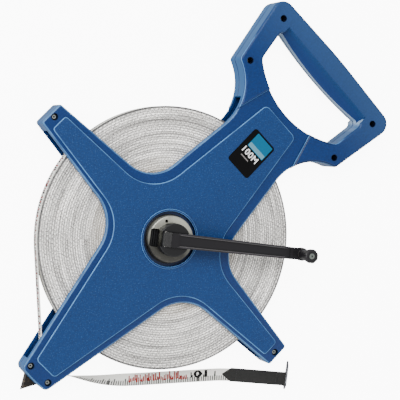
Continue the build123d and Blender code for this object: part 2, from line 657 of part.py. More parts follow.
# ---- one file for each piece --------------------------------------------------------------------
PIECES = [
    front_shell, rear_shell, arm_screws, handle_screws, label_plate, ground_spike, axle,
    thrust_washer, retaining_washer, circlip, drum_front_half, drum_rear_half, drum_screws,
    rear_bush, front_bush, wound_tape, crank_disc, notch_insert, crank_boss, boss_screws,
    hinge_pin, crank_arm, knob_spindle, knob_washer, crank_knob, guide_pin, guide_roller,
    tape_run, free_tape, end_tab, end_ring,
]
os.makedirs("parts", exist_ok=True)
for piece in PIECES:
    export_step(piece.part, f"parts/{piece.part.label}.step")
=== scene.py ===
"""The looks of an open-frame surveyor's tape reel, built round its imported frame. Metres, +Z up."""
import math
import random

import bmesh
import bpy
from mathutils import Matrix, Vector, noise


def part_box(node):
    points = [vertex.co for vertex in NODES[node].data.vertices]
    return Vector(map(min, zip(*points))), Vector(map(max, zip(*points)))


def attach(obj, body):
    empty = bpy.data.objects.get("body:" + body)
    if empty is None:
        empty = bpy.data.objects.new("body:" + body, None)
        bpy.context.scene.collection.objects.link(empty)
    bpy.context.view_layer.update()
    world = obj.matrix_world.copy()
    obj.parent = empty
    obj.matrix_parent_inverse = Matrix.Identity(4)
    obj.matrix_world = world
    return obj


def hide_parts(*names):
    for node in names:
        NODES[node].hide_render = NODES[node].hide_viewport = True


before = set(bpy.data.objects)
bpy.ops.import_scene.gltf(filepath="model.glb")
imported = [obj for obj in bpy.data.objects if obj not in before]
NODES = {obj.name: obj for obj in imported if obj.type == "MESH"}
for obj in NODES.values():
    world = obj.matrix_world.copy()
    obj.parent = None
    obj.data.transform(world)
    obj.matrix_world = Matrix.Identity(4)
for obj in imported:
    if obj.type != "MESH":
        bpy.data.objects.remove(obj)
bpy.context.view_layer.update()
MM = 0.001
MIDDLE = 15.5 * MM  # height of the pack's middle plane
CORE = 52 * MM  # the pack's inner radius
TAPE_WIDTH, TAPE_THICK = 13 * MM, 0.45 * MM
PRINT_LIFT = TAPE_THICK / 2 + 0.04 * MM  # of the tape's print above the tape's middle
TICK_PITCH = 2.5 * MM  # between the tape's marks
# how far each pair of the frame's screws lies along the handle's axis, and to its sides
SCREWS = [(0, 0.1687), (-0.185, 0.0122), (0.2437, 0.0747), (0.187, 0.0691)]
CRANK_ANGLE = math.radians(-6.5)


# ---- camera and light ---------------------------------------------------------------------------
def add_camera():
    """A long lens above the reel, a little to the left of its axis."""
    place = Vector((-450.2, 106.3, 1278.1)) * MM
    aim = -Vector((-0.3599, 0.0502, 0.9316)).normalized()
    roll = 0.0198
    level = aim.cross(Vector((0, 1, 0))).normalized()
    rise = level.cross(aim)
    right = math.cos(roll) * level + math.sin(roll) * rise
    up = -math.sin(roll) * level + math.cos(roll) * rise
    camera = bpy.data.objects.new("camera", bpy.data.cameras.new("camera"))
    camera.data.lens = 119.7
    camera.data.sensor_width = 36.0
    turn = Matrix((right, up, -aim)).transposed().to_4x4()
    camera.matrix_world = Matrix.Translation(place) @ turn
    bpy.context.collection.objects.link(camera)
    bpy.context.scene.camera = camera


def add_area(name, place, size, energy):
    """A round lamp that points at the reel."""
    lamp = bpy.data.lights.new(name, "AREA")
    lamp.shape = "DISK"
    lamp.size = size
    lamp.energy = energy
    obj = bpy.data.objects.new(name, lamp)
    obj.location = place
    obj.rotation_euler = (-Vector(place)).to_track_quat("-Z", "Y").to_euler()
    bpy.context.collection.objects.link(obj)


def add_studio():
    """Soft light from the upper left, a weak fill from the lower right, and a pale floor."""
    world = bpy.data.worlds.new("studio")
    bpy.context.scene.world = world
    world.use_nodes = True
    background = world.node_tree.nodes["Background"]
    background.inputs["Color"].default_value = (1, 1, 1, 1)
    background.inputs["Strength"].default_value = 0.85
    add_area("key", (-0.5, 0.85, 1.5), 1.0, 25)
    add_area("fill", (0.9, -0.9, 1.5), 1.6, 9)
    add_area("side", (-1.6, 0.35, 0.45), 0.8, 24)
    mesh = bpy.data.meshes.new("floor")
    mesh.from_pydata([(-4, -4, 0), (4, -4, 0), (4, 4, 0), (-4, 4, 0)], [], [(0, 1, 2, 3)])
    floor = bpy.data.objects.new("floor", mesh)
    floor.location.z = -0.2 * MM
    bpy.context.collection.objects.link(floor)
    paper = Shader("floor_paper", (0.93, 0.93, 0.93), 0.9)
    paper.main.inputs["Emission Color"].default_value = (1, 1, 1, 1)
    paper.main.inputs["Emission Strength"].default_value = 9.0
    paper.tint(paper.noise(40, detail=3), 0.03)
    floor.data.materials.append(paper.material)
    floor.visible_glossy = False
    floor.visible_diffuse = False


# ---- materials ----------------------------------------------------------------------------------
def srgb(*levels):
    """A linear colour from 0 to 255 display levels."""
    parts = [level / 255 for level in levels]
    return tuple(p / 12.92 if p <= 0.04045 else ((p + 0.055) / 1.055) ** 2.4 for p in parts)


class Shader:
    """A Principled material whose colour, roughness and bump are built up by short calls."""

    def __init__(self, name, color, rough, metallic=0.0, coat=0.0, gloss=0.5):
        self.material = bpy.data.materials.new(name)
        self.material.use_nodes = True
        self.tree = self.material.node_tree
        self.main = self.tree.nodes["Principled BSDF"]
        self.main.inputs["Metallic"].default_value = metallic
        self.main.inputs["Coat Weight"].default_value = coat
        self.main.inputs["Specular IOR Level"].default_value = gloss
        self.main.inputs["Roughness"].default_value = rough
        self.color = (*color[:3], 1)
        self.main.inputs["Base Color"].default_value = self.color
        self.place = self.node("TexCoord").outputs["Object"]
        self.normal = None

    def node(self, kind, inputs=(), **settings):
        item = self.tree.nodes.new("ShaderNode" + kind)
        for key, value in settings.items():
            setattr(item, key, value)
        for key, value in dict(inputs).items():
            self.set(item.inputs[key], value)
        return item

    def set(self, socket, value):
        if isinstance(value, bpy.types.NodeSocket):
            self.tree.links.new(value, socket)
        else:
            socket.default_value = value

    def math(self, operation, *values):
        return self.node("Math", enumerate(values), operation=operation).outputs[0]

    def product(self, *fields):
        total = fields[0]
        for field in fields[1:]:
            total = self.math("MULTIPLY", total, field)
        return total

    def noise(self, scale, detail=2, rough=0.5, vector=None, distortion=0.0):
        """Noise from 0 to 1, whose scale is in waves per metre of the vector."""
        fields = {"Vector": vector or self.place, "Scale": scale, "Detail": detail,
                  "Roughness": rough, "Distortion": distortion}
        return self.node("TexNoise", fields).outputs["Fac"]

    def vector(self, x, y, z=0.0):
        return self.node("CombineXYZ", {"X": x, "Y": y, "Z": z}).outputs[0]

    def distance(self, place, spot):
        fields = {0: place, 1: spot}
        return self.node("VectorMath", fields, operation="DISTANCE").outputs["Value"]

    def between(self, value, low, high):
        """0 below low, 1 above high, and straight between."""
        fields = {"Value": value, "From Min": low, "From Max": high}
        return self.node("MapRange", fields).outputs[0]

    def mix(self, color, *factors):
        """Lays a colour over what is there, by the product of the factors."""
        mixer = self.node("Mix", data_type="RGBA")
        self.set(mixer.inputs[0], self.product(*factors))
        self.set(mixer.inputs[6], self.color)
        self.set(mixer.inputs[7], (*color[:3], 1))
        self.color = mixer.outputs[2]
        self.set(self.main.inputs["Base Color"], self.color)

    def tint(self, field, amount):
        """Darkens and lightens the colour by up to that share, as the 0 to 1 field says."""
        gain = self.math("MULTIPLY_ADD", field, 2 * amount, 1 - amount)
        scaled = self.node("VectorMath", operation="SCALE")
        self.set(scaled.inputs[0], self.color if isinstance(self.color, bpy.types.NodeSocket)
                 else self.color[:3])
        self.set(scaled.inputs["Scale"], gain)
        self.color = scaled.outputs[0]
        self.set(self.main.inputs["Base Color"], self.color)

    def roughness(self, field, low, high):
        self.set(self.main.inputs["Roughness"], self.math("MULTIPLY_ADD", field, high - low, low))

    def bump(self, field, depth, strength=1.0):
        """Adds relief of that depth in metres."""
        fields = {"Height": field, "Distance": depth, "Strength": strength}
        if self.normal:
            fields["Normal"] = self.normal
        self.normal = self.node("Bump", fields).outputs[0]
        self.set(self.main.inputs["Normal"], self.normal)


def facing_up(shader):
    """1 on a flat face, 0 on a wall: the size of the normal's Z."""
    normal = shader.node("TexCoord").outputs["Normal"]
    return shader.math("ABSOLUTE", axis_value(shader, "Z", normal))


def highlight_edges(shader, amount, color, where=1.0):
    """Painted highlights: lightens the rounded edges, which lie between the flat faces and the
    walls, in patches.
    """
    slope = facing_up(shader)
    patches = shader.between(shader.noise(60, detail=4), 0.3, 0.6)
    shader.mix(color, shader.between(slope, 0.985, 0.95), shader.between(slope, 0.25, 0.45),
               shader.math("MULTIPLY_ADD", patches, 0.5, 0.5), where, amount)


def axis_value(shader, axis, vector=None):
    return shader.node("SeparateXYZ", {"Vector": vector or shader.place}).outputs[axis]


def polar(shader):
    """Radius in metres and angle in radians round the reel's axis."""
    x, y = axis_value(shader, "X"), axis_value(shader, "Y")
    square = shader.math("MULTIPLY_ADD", x, x, shader.math("MULTIPLY", y, y))
    return shader.math("SQRT", square), shader.math("ARCTAN2", y, x)


def from_screw(shader):
    """Distance in metres from the axis of the nearest screw in the frame's face."""
    x, y = axis_value(shader, "X"), axis_value(shader, "Y")
    along = shader.product(shader.math("ADD", x, y), math.sqrt(0.5))
    across = shader.math("ABSOLUTE", shader.math("SUBTRACT", y, x))
    place = shader.vector(along, shader.product(across, math.sqrt(0.5)))
    gaps = [shader.distance(place, (*screw, 0)) for screw in SCREWS]
    nearest = gaps[0]
    for gap in gaps[1:]:
        nearest = shader.math("MINIMUM", nearest, gap)
    return nearest


def make_blue():
    """Moulded shell: a spark-grained panel inside a smoother rim, with painted highlights on its
    edges, painted light on its walls, a painted reflection paling the handle's end, and painted
    shade in the scoop, the neck's step and the hub's well.
    """
    s = Shader("shell_blue_plastic", srgb(2, 40, 92), 0.36, gloss=0.25)
    x, y, height = axis_value(s, "X"), axis_value(s, "Y"), axis_value(s, "Z")
    radius = polar(s)[0]
    # along and across the handle's diagonal, both times the square root of 2
    along_handle = s.math("ADD", x, y)
    to_left = s.math("SUBTRACT", y, x)
    across_handle = s.math("ABSOLUTE", to_left)
    from_middle = s.math("ABSOLUTE", s.math("SUBTRACT", height, MIDDLE))
    panel_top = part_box("label_plate")[1].z - 0.2 * MM
    seam_height, well_radius = 14.0 * MM, 28.4 * MM
    # of the rounded edges, above the middle plane
    rim_level, panel_level, bead_level = 12.1 * MM, 14.2 * MM, 15.6 * MM
    on_panel = s.math("COMPARE", height, panel_top, 0.35 * MM)
    s.mix(srgb(3, 47, 97), on_panel)
    s.tint(s.between(s.noise(560, detail=3, rough=0.8), 0.3, 0.7), 0.26)
    s.tint(s.noise(14, detail=2), 0.10)
    flakes = s.between(s.noise(900, detail=1), 0.60, 0.70)
    s.mix(srgb(90, 144, 200), s.math("MULTIPLY_ADD", on_panel, 0.12, 0.04), flakes)
    # painted reflection: paler towards the handle's end
    s.mix(srgb(84, 124, 160), s.between(along_handle, 0.27, 0.36), 0.16)
    # painted shade in the scoop for the fingers
    s.mix(srgb(2, 34, 92), s.between(along_handle, 0.318, 0.326),
          s.between(along_handle, 0.344, 0.334), s.between(from_middle, 12.3 * MM, 10.5 * MM), 0.55)
    # walls: painted light on the outer walls and on the grip's inner wall, a dark line where the
    # shells meet, and painted shade in the well at the hub
    wall = s.between(facing_up(s), 0.3, 0.1)
    outside = s.product(wall, s.between(radius, 36 * MM, 40 * MM))
    s.mix(srgb(48, 148, 218), outside, s.between(from_middle, 12.9 * MM, 12.6 * MM), 0.24)
    # painted light: the grip's inner wall made near-white
    s.mix(srgb(180, 208, 232), outside, s.between(across_handle, 0.094, 0.090),
          s.between(along_handle, 0.312, 0.324), s.between(along_handle, 0.340, 0.337), 0.7)
    s.mix(srgb(6, 30, 66), wall, s.math("COMPARE", height, seam_height, 0.8 * MM), 0.85)
    # painted shade in the hub's well
    s.mix(srgb(4, 16, 44), s.between(radius, well_radius, well_radius - 0.3 * MM),
          s.between(height, 26 * MM, 27 * MM), 0.7)
    # painted shade: the step at the handle's neck is darker on its right
    s.mix(srgb(1, 26, 66), s.math("COMPARE", along_handle, 0.235, 0.04),
          s.between(from_middle, 12.9 * MM, 13.1 * MM), s.between(facing_up(s), 0.99, 0.93),
          s.between(to_left, 0.01, -0.01))
    # painted highlights, in patches: fine lines along the rim, round the panel and on the hub's bead
    rim_edge = s.product(s.math("COMPARE", from_middle, rim_level, 0.8 * MM),
                         s.between(along_handle, 0.21, 0.20))
    highlight_edges(s, 0.4, srgb(120, 176, 226), rim_edge)
    fine_edge = s.product(s.math("COMPARE", from_middle, panel_level, 0.55 * MM),
                          s.between(along_handle, 0.30, 0.29))
    bead = s.product(s.math("COMPARE", from_middle, bead_level, 0.75 * MM),
                     s.between(radius, 36 * MM, 34 * MM))
    highlight_edges(s, 0.6, srgb(110, 170, 228), s.math("MAXIMUM", fine_edge, bead))
    # shade and grease in the screws' counterbores
    s.mix(srgb(5, 16, 40), s.between(from_screw(s), 3.9 * MM, 3.3 * MM))
    panel_roughness = s.math("MULTIPLY_ADD", on_panel, 0.16, 0.30)
    s.set(s.main.inputs["Roughness"], s.math("MULTIPLY_ADD", s.noise(60), 0.1, panel_roughness))
    s.bump(s.noise(1500, detail=3, rough=0.6), 0.10 * MM, 0.5)
    return s.material


def make_pack():
    """Edges of wound tape: fine rings, streaks, print showing as specks, and a yellower tone towards
    the core.
    """
    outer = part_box("wound_tape")[1].x
    ring_pitch, dashes = 2.4 * MM, 160
    s = Shader("wound_tape_edges", srgb(244, 241, 236), 0.8)
    radius, angle = polar(s)

    def streaky(radial, round_axis, shift=0, **settings):
        """Noise with its own scales along the radius and round the axis."""
        spread = s.math("MULTIPLY_ADD", radius, radial, shift)
        return s.noise(1, vector=s.vector(spread, s.product(angle, round_axis)), **settings)

    streaks = streaky(330, 1.3, detail=6, rough=0.8)
    s.tint(s.between(streaks, 0.38, 0.62), 0.50)
    ring = s.math("DIVIDE", radius, ring_pitch)
    turns = s.math("SINE", s.product(ring, math.tau))
    # each ring's dashes start at their own angle
    phase = s.product(s.math("FLOOR", ring), 2.4)
    weave = s.math("SINE", s.math("MULTIPLY_ADD", angle, dashes, phase))
    s.tint(s.product(s.between(turns, -0.5, 0.6), s.between(weave, -0.6, 0.6)), 0.26)
    s.tint(s.math("MULTIPLY_ADD", turns, 0.5, 0.5), 0.32)
    s.tint(s.between(streaky(130, 1, detail=2), 0.35, 0.65), 0.30)
    gaps = streaky(300, 0.4, 40, detail=1)
    s.mix(srgb(84, 80, 78), s.between(gaps, 0.60, 0.70), 0.55)
    specks = streaky(900, 95, detail=2, rough=0.6)
    s.mix(srgb(62, 58, 58), s.between(specks, 0.51, 0.58), 0.85)
    glints = streaky(800, 110, 9, detail=2, rough=0.6)
    s.mix(srgb(240, 240, 236), s.between(glints, 0.58, 0.70), 0.6)
    # yellower towards the core
    s.mix(srgb(188, 168, 128), s.between(radius, 85 * MM, CORE), 0.55)
    s.mix(srgb(44, 44, 48), s.between(radius, outer - 2.0 * MM, outer - 1.2 * MM), 0.85)
    # the outermost turn shows its printed face
    face = s.between(radius, outer - 0.06 * MM, outer - 0.04 * MM)
    s.mix(srgb(240, 238, 230), face)
    count = s.math("DIVIDE", s.product(angle, outer), TICK_PITCH)
    tick = s.math("LESS_THAN", s.math("FRACT", count), 0.4)
    low = s.math("LESS_THAN", axis_value(s, "Z"), MIDDLE - 1.5 * MM)
    s.mix(srgb(14, 14, 16), face, tick, low, 0.85)
    s.bump(turns, 0.15 * MM, 0.6)
    s.bump(streaks, 0.3 * MM, 0.5)
    return s.material


def make_tape():
    """Coated white tape, graduated along one edge; its UV is millimetres along and across it."""
    s = Shader("printed_tape", srgb(248, 247, 240), 0.42)
    place = s.node("UVMap", uv_map="tape_mm").outputs[0]
    along, across = axis_value(s, "X", place), axis_value(s, "Y", place)
    weave = s.product(s.math("SINE", s.product(along, 6.0)), s.math("SINE", s.product(across, 7.0)))
    s.tint(s.math("MULTIPLY_ADD", weave, 0.5, 0.5), 0.03)
    s.tint(s.noise(0.08, detail=3, vector=place), 0.04)

    def ticks(pitch, width, reach):
        """Marks of a width every pitch, from the graduated edge up to reach, in mm."""
        share = s.math("FRACT", s.math("DIVIDE", along, pitch))
        line = s.math("LESS_THAN", s.math("ABSOLUTE", s.math("SUBTRACT", share, 0.5)),
                      0.5 * width / pitch)
        low = s.math("LESS_THAN", across, reach - TAPE_WIDTH / 2 / MM)
        return s.product(line, low)

    pitch = TICK_PITCH / MM
    ink = s.math("MAXIMUM", ticks(pitch, 1.25, 5.6), ticks(5 * pitch, 1.5, 7.4))
    ink = s.math("MAXIMUM", ink, ticks(40 * pitch, 1.2, 7.8))
    faded = s.between(s.noise(0.5, detail=3, vector=place), 0.2, 0.55)
    s.mix(srgb(6, 6, 8), ink, s.math("MULTIPLY_ADD", faded, 0.2, 0.8))
    soil = s.between(s.noise(0.12, detail=4, vector=place), 0.5, 0.8)
    s.mix(srgb(190, 182, 156), soil, 0.10)
    s.bump(weave, 0.03 * MM, 0.5)
    return s.material


def make_ink(name, color):
    """Matt print or thread, a little uneven in tone."""
    s = Shader(name, color, 0.5, gloss=0.15)
    s.tint(s.noise(900, detail=3), 0.15)
    s.roughness(s.noise(400), 0.4, 0.6)
    return s.material


def make_grained(name, color, rough, grain=1100, depth=0.08, speck=0.12, gloss=0.25):
    """Moulded plastic with a fine spark grain, painted highlights on its rounded edges and slow
    colour drift.
    """
    s = Shader(name, color, rough, gloss=gloss)
    s.tint(s.noise(grain, detail=3, rough=0.65), speck)
    s.tint(s.noise(25, detail=2), 0.08)
    # painted highlights on the rounded edges
    highlight_edges(s, 0.3, tuple(0.05 + c for c in color))
    s.roughness(s.noise(150, detail=3), rough - 0.06, rough + 0.1)
    s.bump(s.noise(grain * 1.4, detail=2), depth * MM, 0.5)
    return s.material


def make_arm():
    """The crank's arm: black plastic with painted highlights on its rounded edges, a painted
    highlight line along each side with painted shade just inside it, and painted shade on its
    sloping root.
    """
    s = Shader("arm_plastic", srgb(23, 22, 25), 0.4, gloss=0.2)
    s.tint(s.noise(1100, detail=3, rough=0.65), 0.12)
    x, y = axis_value(s, "X"), axis_value(s, "Y")
    cosine, sine = math.cos(CRANK_ANGLE), math.sin(CRANK_ANGLE)
    along = s.math("MULTIPLY_ADD", x, cosine, s.product(y, sine))
    across = s.math("ABSOLUTE", s.math("MULTIPLY_ADD", y, cosine, s.product(x, -sine)))
    # a painted highlight line along each side and a line of painted shade just inside it; the lines
    # close in with the arm's taper
    side = s.math("MULTIPLY_ADD", along, -0.0086, 5.6 * MM)
    ends = s.product(s.between(along, 3 * MM, 5 * MM), s.between(along, 122 * MM, 119 * MM))
    s.mix(srgb(84, 82, 84), s.math("COMPARE", across, side, 0.45 * MM), ends, 0.75)
    inner_side = s.math("SUBTRACT", side, 1.0 * MM)
    s.mix(srgb(6, 6, 8), s.math("COMPARE", across, inner_side, 0.45 * MM), ends, 0.8)
    # painted shade on the sloping root; painted highlights on the edges beyond it
    s.mix(srgb(9, 9, 10), s.between(along, -3.5 * MM, -5.5 * MM))
    highlight_edges(s, 0.7, srgb(74, 72, 76), s.between(along, -3 * MM, 0))
    s.roughness(s.noise(150, detail=3), 0.36, 0.5)
    s.bump(s.noise(1540, detail=2), 0.08 * MM, 0.5)
    return s.material


def make_metal(name, color, rough, brush=(3000, 60, 60), spots=0.0):
    """Steel with fine brush lines along one axis, and faint stains."""
    s = Shader(name, color, rough, metallic=1.0)
    scaled = s.node("VectorMath", {0: s.place, 1: brush}, operation="MULTIPLY")
    lines = s.noise(1, detail=4, rough=0.7, vector=scaled.outputs[0])
    s.tint(lines, 0.12)
    s.roughness(lines, rough - 0.08, rough + 0.15)
    stains = s.between(s.noise(250, detail=5), 0.5, 0.75)
    s.mix(srgb(96, 84, 70), stains, spots)
    s.bump(lines, 0.02 * MM, 0.4)
    return s.material


def make_frame_screw():
    """A blackened screw, its bright zinc rubbed through in a ring round the socket."""
    s = Shader("frame_screws", srgb(20, 24, 30), 0.45, metallic=0.6)
    ring = s.math("COMPARE", from_screw(s), 1.35 * MM, 0.5 * MM)
    wear = s.between(s.noise(700, detail=3), 0.25, 0.5)
    s.mix(srgb(150, 156, 152), ring, s.math("MULTIPLY_ADD", wear, 0.3, 0.6))
    s.roughness(s.noise(500, detail=3), 0.35, 0.55)
    s.bump(s.noise(1600, detail=2), 0.03 * MM, 0.4)
    return s.material


def make_disc():
    """Satin silver paint over moulded plastic, with painted shade on one side."""
    s = Shader("silver_paint", srgb(178, 178, 166), 0.3, metallic=0.7, coat=0.1)
    radius, angle = polar(s)
    rings = s.vector(s.product(radius, 2500), s.product(angle, 1.5))
    lathe = s.noise(1, detail=4, vector=rings)
    s.tint(lathe, 0.10)
    # painted shade: darker on the side away from the handle
    shaded_side = s.between(s.math("COSINE", s.math("SUBTRACT", angle, 1.3)), 0.7, -0.6)
    s.mix(srgb(40, 38, 36), shaded_side, 0.93)
    grime = s.between(s.noise(160, detail=4), 0.52, 0.75)
    s.mix(srgb(110, 104, 96), grime, 0.35)
    # painted shade inside the small hole beside the boss
    across = s.vector(axis_value(s, "X"), axis_value(s, "Y"))
    dimple = s.distance(across, (-5.2 * MM, 18.3 * MM, 0))
    s.mix(srgb(16, 16, 18), s.between(dimple, 1.7 * MM, 1.5 * MM))
    s.roughness(lathe, 0.28, 0.46)
    s.bump(s.noise(1800, detail=2), 0.04 * MM, 0.4)
    return s.material


def make_tab():
    """Black coated webbing: fine ribs across it, and a dull sheen."""
    s = Shader("tab_webbing", srgb(36, 36, 35), 0.6, gloss=0.2)
    s.main.inputs["Sheen Weight"].default_value = 0.1
    place = s.node("UVMap", uv_map="tape_mm").outputs[0]
    along, across = axis_value(s, "X", place), axis_value(s, "Y", place)
    rib_pitch, cord_pitch = 0.7, 0.9
    ribs = s.math("SINE", s.product(along, math.tau / rib_pitch))
    cords = s.math("SINE", s.product(across, math.tau / cord_pitch))
    cloth = s.product(ribs, cords)
    s.tint(s.math("MULTIPLY_ADD", cloth, 0.5, 0.5), 0.16)
    s.tint(s.noise(0.15, detail=4, vector=place), 0.15)
    s.bump(cloth, 0.10 * MM, 0.7)
    s.roughness(s.noise(0.4, detail=3, vector=place), 0.5, 0.72)
    return s.material


# ---- pieces -------------------------------------------------------------------------------------
def finish_piece(mesh, name, material, body, slot, *nodes, smooth=True):
    """Links a mesh as a piece with its name, material and body, and hides the CAD nodes it replaces;
    slot is not used.
    """
    mesh.name = name
    obj = bpy.data.objects.new(name, mesh)
    bpy.context.collection.objects.link(obj)
    mesh.materials.clear()
    mesh.materials.append(material)
    for face in mesh.polygons:
        face.use_smooth = smooth
    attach(obj, body)
    if nodes:
        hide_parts(*nodes)
    return obj


def ring_faces(rings, columns):
    """Quads between rings of points that are stored one after another."""
    return [(r * columns + c, r * columns + (c + 1) % columns,
             (r + 1) * columns + (c + 1) % columns, (r + 1) * columns + c)
            for r in range(rings - 1) for c in range(columns)]


def tube_mesh(points, columns, spots):
    """A closed tube through rings of points, whose UV holds each point's spot in millimetres."""
    last = len(points) - columns
    caps = [tuple(reversed(range(columns))), tuple(range(last, len(points)))]
    mesh = bpy.data.meshes.new("tube")
    mesh.from_pydata(points, [], ring_faces(len(points) // columns, columns) + caps)
    layer = mesh.uv_layers.new(name="tape_mm")
    for loop in mesh.loops:
        layer.data[loop.index].uv = spots[loop.vertex_index]
    return mesh


class Ribbon:
    """A flat tape along a list of points."""

    def __init__(self, points, flat_from=None):
        """The tape stands on edge, or turns flat by the share flat_from of its length."""
        self.frames = []
        lengths = [0.0]
        for a, b in zip(points, points[1:]):
            lengths.append(lengths[-1] + (b - a).length)
        for i, point in enumerate(points):
            before, after = points[max(i - 1, 0)], points[min(i + 1, len(points) - 1)]
            heading = (after - before).normalized()
            side = Vector((0, 0, 1)).cross(heading).normalized()
            top = heading.cross(side)
            share = lengths[i] / lengths[-1]
            turn = math.radians(90) * min(1.0, share / flat_from) if flat_from else 0.0
            across = top * math.cos(turn) + side * math.sin(turn)
            self.frames.append((point, across, heading.cross(across), lengths[i]))

    def at(self, distance, across, lift):
        """The point that lies so far along, across and above the tape, in metres."""
        frames = self.frames
        i = next((k for k in range(1, len(frames)) if frames[k][3] >= distance), len(frames) - 1)
        a, b = frames[i - 1], frames[i]
        share = (distance - a[3]) / (b[3] - a[3])
        point = a[0].lerp(b[0], share)
        return point + a[1].lerp(b[1], share) * across + a[2].lerp(b[2], share) * lift

    def mesh(self, width, thick):
        """A closed strip whose UV holds millimetres along and across."""
        lower = [(k * width / 4, -thick / 2) for k in range(-2, 3)]
        section = lower + [(x, -z) for x, z in reversed(lower)]
        points, spots = [], []
        for point, across, lift, distance in self.frames:
            for x, z in section:
                points.append(point + across * x + lift * z)
                spots.append((distance / MM, math.copysign(x / MM, x * z)))
        return tube_mesh(points, len(section), spots)


def spline_points(route):
    """Points along the smooth line whose control points are the route."""
    curve = bpy.data.curves.new("route", "CURVE")
    curve.dimensions = "3D"
    curve.resolution_u = 12
    spline = curve.splines.new("NURBS")
    spline.points.add(len(route) - 1)
    for control, place in zip(spline.points, route):
        control.co = (*place, 1)
    spline.order_u = 3
    spline.use_endpoint_u = True
    line = bpy.data.objects.new("route", curve)
    mesh = bpy.data.meshes.new_from_object(line)
    points = [v.co.copy() for v in mesh.vertices]
    bpy.data.objects.remove(line)
    bpy.data.meshes.remove(mesh)
    bpy.data.curves.remove(curve)
    return points


def text_mesh(text, size, name, boldness=0.02, spacing=1.0):
    """Flat numerals as a mesh in the XY plane, centred on the origin."""
    curve = bpy.data.curves.new(name, "FONT")
    curve.body = text
    curve.size = size
    curve.space_character = spacing
    curve.align_x, curve.align_y = "CENTER", "CENTER"
    curve.offset = size * boldness
    obj = bpy.data.objects.new(name, curve)
    mesh = bpy.data.meshes.new_from_object(obj)
    bpy.data.objects.remove(obj)
    bpy.data.curves.remove(curve)
    return mesh


# ---- free tape, which comes first because the frame depends on where it lies ---------------------
# The route's control points, as the frame's own strip has them.
ROUTE = [
    (-0.1035, -0.13435, 0.0155), (-0.088, -0.1374, 0.0150), (-0.068, -0.1412, 0.0128),
    (-0.050, -0.1434, 0.0096), (-0.031, -0.1446, 0.0060), (-0.012, -0.1451, 0.0032),
    (0.009, -0.1452, 0.0015), (0.032, -0.1451, 0.00107), (0.052, -0.1449, 0.00107),
    (0.072, -0.1448, 0.00107), (0.104, -0.1483, 0.00107), (0.1379, -0.1526, 0.00107),
]
FLAT_FROM = 0.28  # share of the route where the tape has turned from on edge to flat


def print_bars(ribbon, start, end, seed, name, ink, spacing=0.8, tallest=6.2):
    """Small upright marks of uneven height, printed along a stretch of the tape."""
    random.seed(seed)
    corners, faces = [], []
    here = start
    while here < end:
        wide = random.uniform(1.0, 1.8) * MM
        low = random.uniform(-3.2, -1.2) * MM
        high = low + random.uniform(3.4, tallest) * MM
        for x, y in ((here, low), (here + wide, low), (here + wide, high), (here, high)):
            corners.append(ribbon.at(x, y, PRINT_LIFT))
        faces.append(tuple(range(len(corners) - 4, len(corners))))
        here += wide + random.uniform(0.3, spacing) * MM
    bars = bpy.data.meshes.new("bars")
    bars.from_pydata(corners, [], faces)
    finish_piece(bars, name, ink, "frame", "tape", smooth=False)


def make_free_tape(tape, black_ink, red_ink):
    """The free length of tape with its print: on edge at the mouth, then flat on the floor."""
    points = spline_points(ROUTE)
    ribbon = Ribbon(points, FLAT_FROM)
    length = ribbon.frames[-1][3]
    free = finish_piece(ribbon.mesh(TAPE_WIDTH, TAPE_THICK), "free_tape_printed", tape, "frame",
                        "tape", "free_tape", smooth=False)
    # the decimetre's numerals, which read from the reel's side
    digits = text_mesh("10", 9.6 * MM, "digits", boldness=0.045)
    centre = length - 89.5 * MM
    for v in digits.vertices:
        x = 1.75 * v.co.x + math.copysign(0.4 * MM, v.co.x)
        v.co = ribbon.at(centre - x, -v.co.y + 2.2 * MM, PRINT_LIFT)
    finish_piece(digits, "tape_numerals", black_ink, "frame", "tape")
    print_bars(ribbon, centre - 82 * MM, centre - 17 * MM, 7, "tape_red_marks", red_ink,
               tallest=8.4)
    for name, shift in (("tape_mark_before", -12.5 * MM), ("tape_mark_after", 14 * MM)):
        start = centre + shift
        print_bars(ribbon, start, start + 0.8 * MM, 5, name, black_ink)
    return free, points, length


def make_tape_run(tape, black_ink, red_ink):
    """The tape from the pack, round the guide roller, to the mouth in the frame's edge."""
    low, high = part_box("guide_roller")
    roller = Vector(((low.x + high.x) / 2, (low.y + high.y) / 2, 0))
    middle = (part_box("wound_tape")[0].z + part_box("wound_tape")[1].z) / 2
    gap = 0.3 * MM + TAPE_THICK / 2
    pack_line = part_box("wound_tape")[1].x + gap
    roller_line = (high.x - low.x) / 2 + gap
    mouth = Vector(ROUTE[0]) - Vector((0, 0, ROUTE[0][2]))
    start = math.radians(135)
    enter = math.tau + math.atan2(roller.y, roller.x) - math.acos(
        (pack_line - roller_line) / roller.length)
    to_mouth = mouth - roller
    leave = math.tau + math.atan2(to_mouth.y, to_mouth.x) - math.acos(
        roller_line / to_mouth.length)

    def arc(centre, radius, first, last, count):
        angles = [first + (last - first) * i / count for i in range(count + 1)]
        return [centre + radius * Vector((math.cos(a), math.sin(a), 0)) for a in angles]

    flat = arc(Vector(), pack_line, start, enter, 40) + arc(roller, roller_line, enter, leave, 12)
    points = [p + Vector((0, 0, middle)) for p in flat + [mouth]]
    ribbon = Ribbon(points)
    finish_piece(ribbon.mesh(TAPE_WIDTH, TAPE_THICK), "tape_run_printed", tape, "frame", "tape",
                 "tape_run", smooth=False)
    first, last = 20 * MM, ribbon.frames[-1][3] - 30 * MM
    print_bars(ribbon, first, last, 11, "tape_run_black_marks", black_ink, spacing=5.0)
    print_bars(ribbon, first, last, 12, "tape_run_red_marks", red_ink, spacing=6.0)


